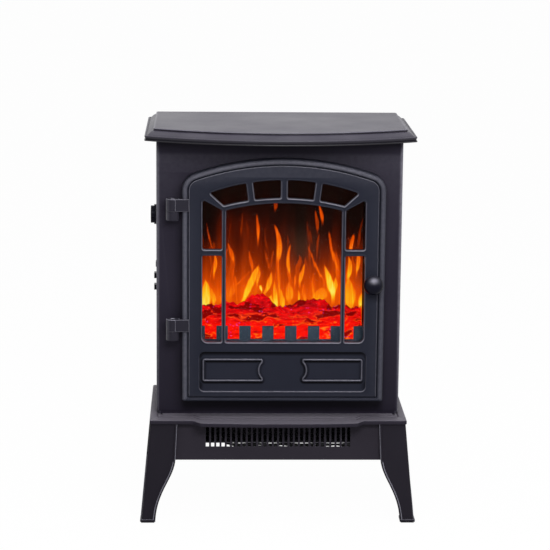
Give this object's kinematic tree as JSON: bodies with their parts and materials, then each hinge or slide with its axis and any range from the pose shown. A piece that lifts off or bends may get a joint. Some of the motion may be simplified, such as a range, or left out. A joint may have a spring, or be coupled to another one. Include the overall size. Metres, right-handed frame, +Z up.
{
  "type": "electric fireplace",
  "caption": "Free-standing stove-shaped electric fireplace with a hinged arched door, a lit flame screen and ember bed, splayed legs and a fan heater under the hearth.",
  "frame": {"origin": "on the floor, under the middle of the part's bounding box", "axes": "+Z up, the door faces -Y, +X to the right as seen from in front"},
  "size_m": [0.408, 0.268, 0.585],
  "materials": {
    "cabinet_paint": "satin powder coat, near black with a slight violet tint",
    "top_board": "moulded fibreboard, painted satin near black",
    "door_plastic": "satin, near black",
    "hinge_paint": "satin powder coat",
    "knob_plastic": "satin, near black",
    "galvanised_sheet": "galvanised",
    "zinc_steel": "zinc plated",
    "foot_rubber": "matte",
    "door_pane": "clear, polished",
    "magnet": "matte",
    "firebox_black": "matte black",
    "flame_film": null,
    "grate_paint": "matte",
    "ember_resin": "rough translucent resin, lit from below",
    "board_white": "matte",
    "rotor_foil": "bright foil",
    "wheel_alloy": "satin",
    "motor_can": "zinc plated",
    "bearing_nylon": "matte",
    "brown_bakelite": "gloss",
    "heater_block": "satin fins"
  },
  "bodies": {
    "cabinet": {"top_plate": "top_board", "top_deck": "galvanised_sheet", "top_screws": "zinc_steel", "front_panel": "cabinet_paint", "left_side_panel": "cabinet_paint", "right_side_panel": "cabinet_paint", "back_panel": "cabinet_paint", "panel_screws": "zinc_steel", "base_tray": "galvanised_sheet", "hearth": "cabinet_paint", "front_apron": "cabinet_paint", "left_apron": "cabinet_paint", "right_apron": "cabinet_paint", "rear_apron": "cabinet_paint", "leg_front_left": "cabinet_paint", "leg_front_right": "cabinet_paint", "leg_rear_left": "cabinet_paint", "leg_rear_right": "cabinet_paint", "foot_pads": "foot_rubber", "leg_screws": "zinc_steel", "magnet_catch": "magnet", "upper_hinge_bracket": "hinge_paint", "lower_hinge_bracket": "hinge_paint", "hinge_pins": "zinc_steel", "dial_plate": "knob_plastic", "thermostat": "brown_bakelite", "button_frames": "knob_plastic", "switch_blocks": "bearing_nylon", "firebox_left_wall": "firebox_black", "firebox_right_wall": "firebox_black", "firebox_back": "firebox_black", "firebox_ceiling": "firebox_black", "firebox_floor": "firebox_black", "flame_screen": "flame_film", "fire_grate": "grate_paint", "ember_bed": "ember_resin", "led_boards": "board_white", "rotor_motor": "motor_can", "rotor_bearing": "bearing_nylon", "heater_housing": "galvanised_sheet", "heating_element": "heater_block", "blower_motor": "motor_can", "blower_bearing": "bearing_nylon", "thermal_cutout": "bearing_nylon", "cord_inlet": "knob_plastic"},
    "door": {"door_frame": "door_plastic", "door_glass": "door_pane", "glass_clips": "galvanised_sheet", "glass_clip_screws": "zinc_steel", "door_knob": "knob_plastic", "strike_plate": "zinc_steel", "upper_hinge_arm": "hinge_paint", "lower_hinge_arm": "hinge_paint"},
    "thermostat_dial": {"thermostat_knob": "knob_plastic", "thermostat_shaft": "zinc_steel"},
    "flame_switch": {"flame_button": "knob_plastic"},
    "low_heat_switch": {"low_heat_button": "knob_plastic"},
    "high_heat_switch": {"high_heat_button": "knob_plastic"},
    "flame_rotor": {"flame_rotor": "rotor_foil"},
    "blower_wheel": {"blower_wheel": "wheel_alloy"}
  },
  "joints": [
    {"name": "door_swing", "type": "hinge", "parent": "cabinet", "child": "door", "pos_m": [-0.1562, -0.0623, 0.377], "axis": [0, 0, -1], "range_deg": [0, 110]},
    {"name": "thermostat_turn", "type": "hinge", "parent": "cabinet", "child": "thermostat_dial", "pos_m": [-0.1805, 0.037, 0.4418], "axis": [1, 0, 0], "range_deg": [0, 270]},
    {"name": "flame_button_push", "type": "slide", "parent": "cabinet", "child": "flame_switch", "axis": [-1, 0, 0], "range_m": [0, 0.0024]},
    {"name": "low_heat_button_push", "type": "slide", "parent": "cabinet", "child": "low_heat_switch", "axis": [1, 0, 0], "range_m": [0, 0.0024], "stiffness_N_per_m": 300, "springref_m": -0.0008},
    {"name": "high_heat_button_push", "type": "slide", "parent": "cabinet", "child": "high_heat_switch", "axis": [1, 0, 0], "range_m": [0, 0.0024], "stiffness_N_per_m": 300, "springref_m": -0.0008},
    {"name": "flame_rotor_spin", "type": "hinge", "parent": "cabinet", "child": "flame_rotor", "pos_m": [0, 0.062, 0.305], "axis": [1, 0, 0], "continuous": true},
    {"name": "blower_spin", "type": "hinge", "parent": "cabinet", "child": "blower_wheel", "pos_m": [0, 0.05, 0.19], "axis": [1, 0, 0], "continuous": true}
  ]
}
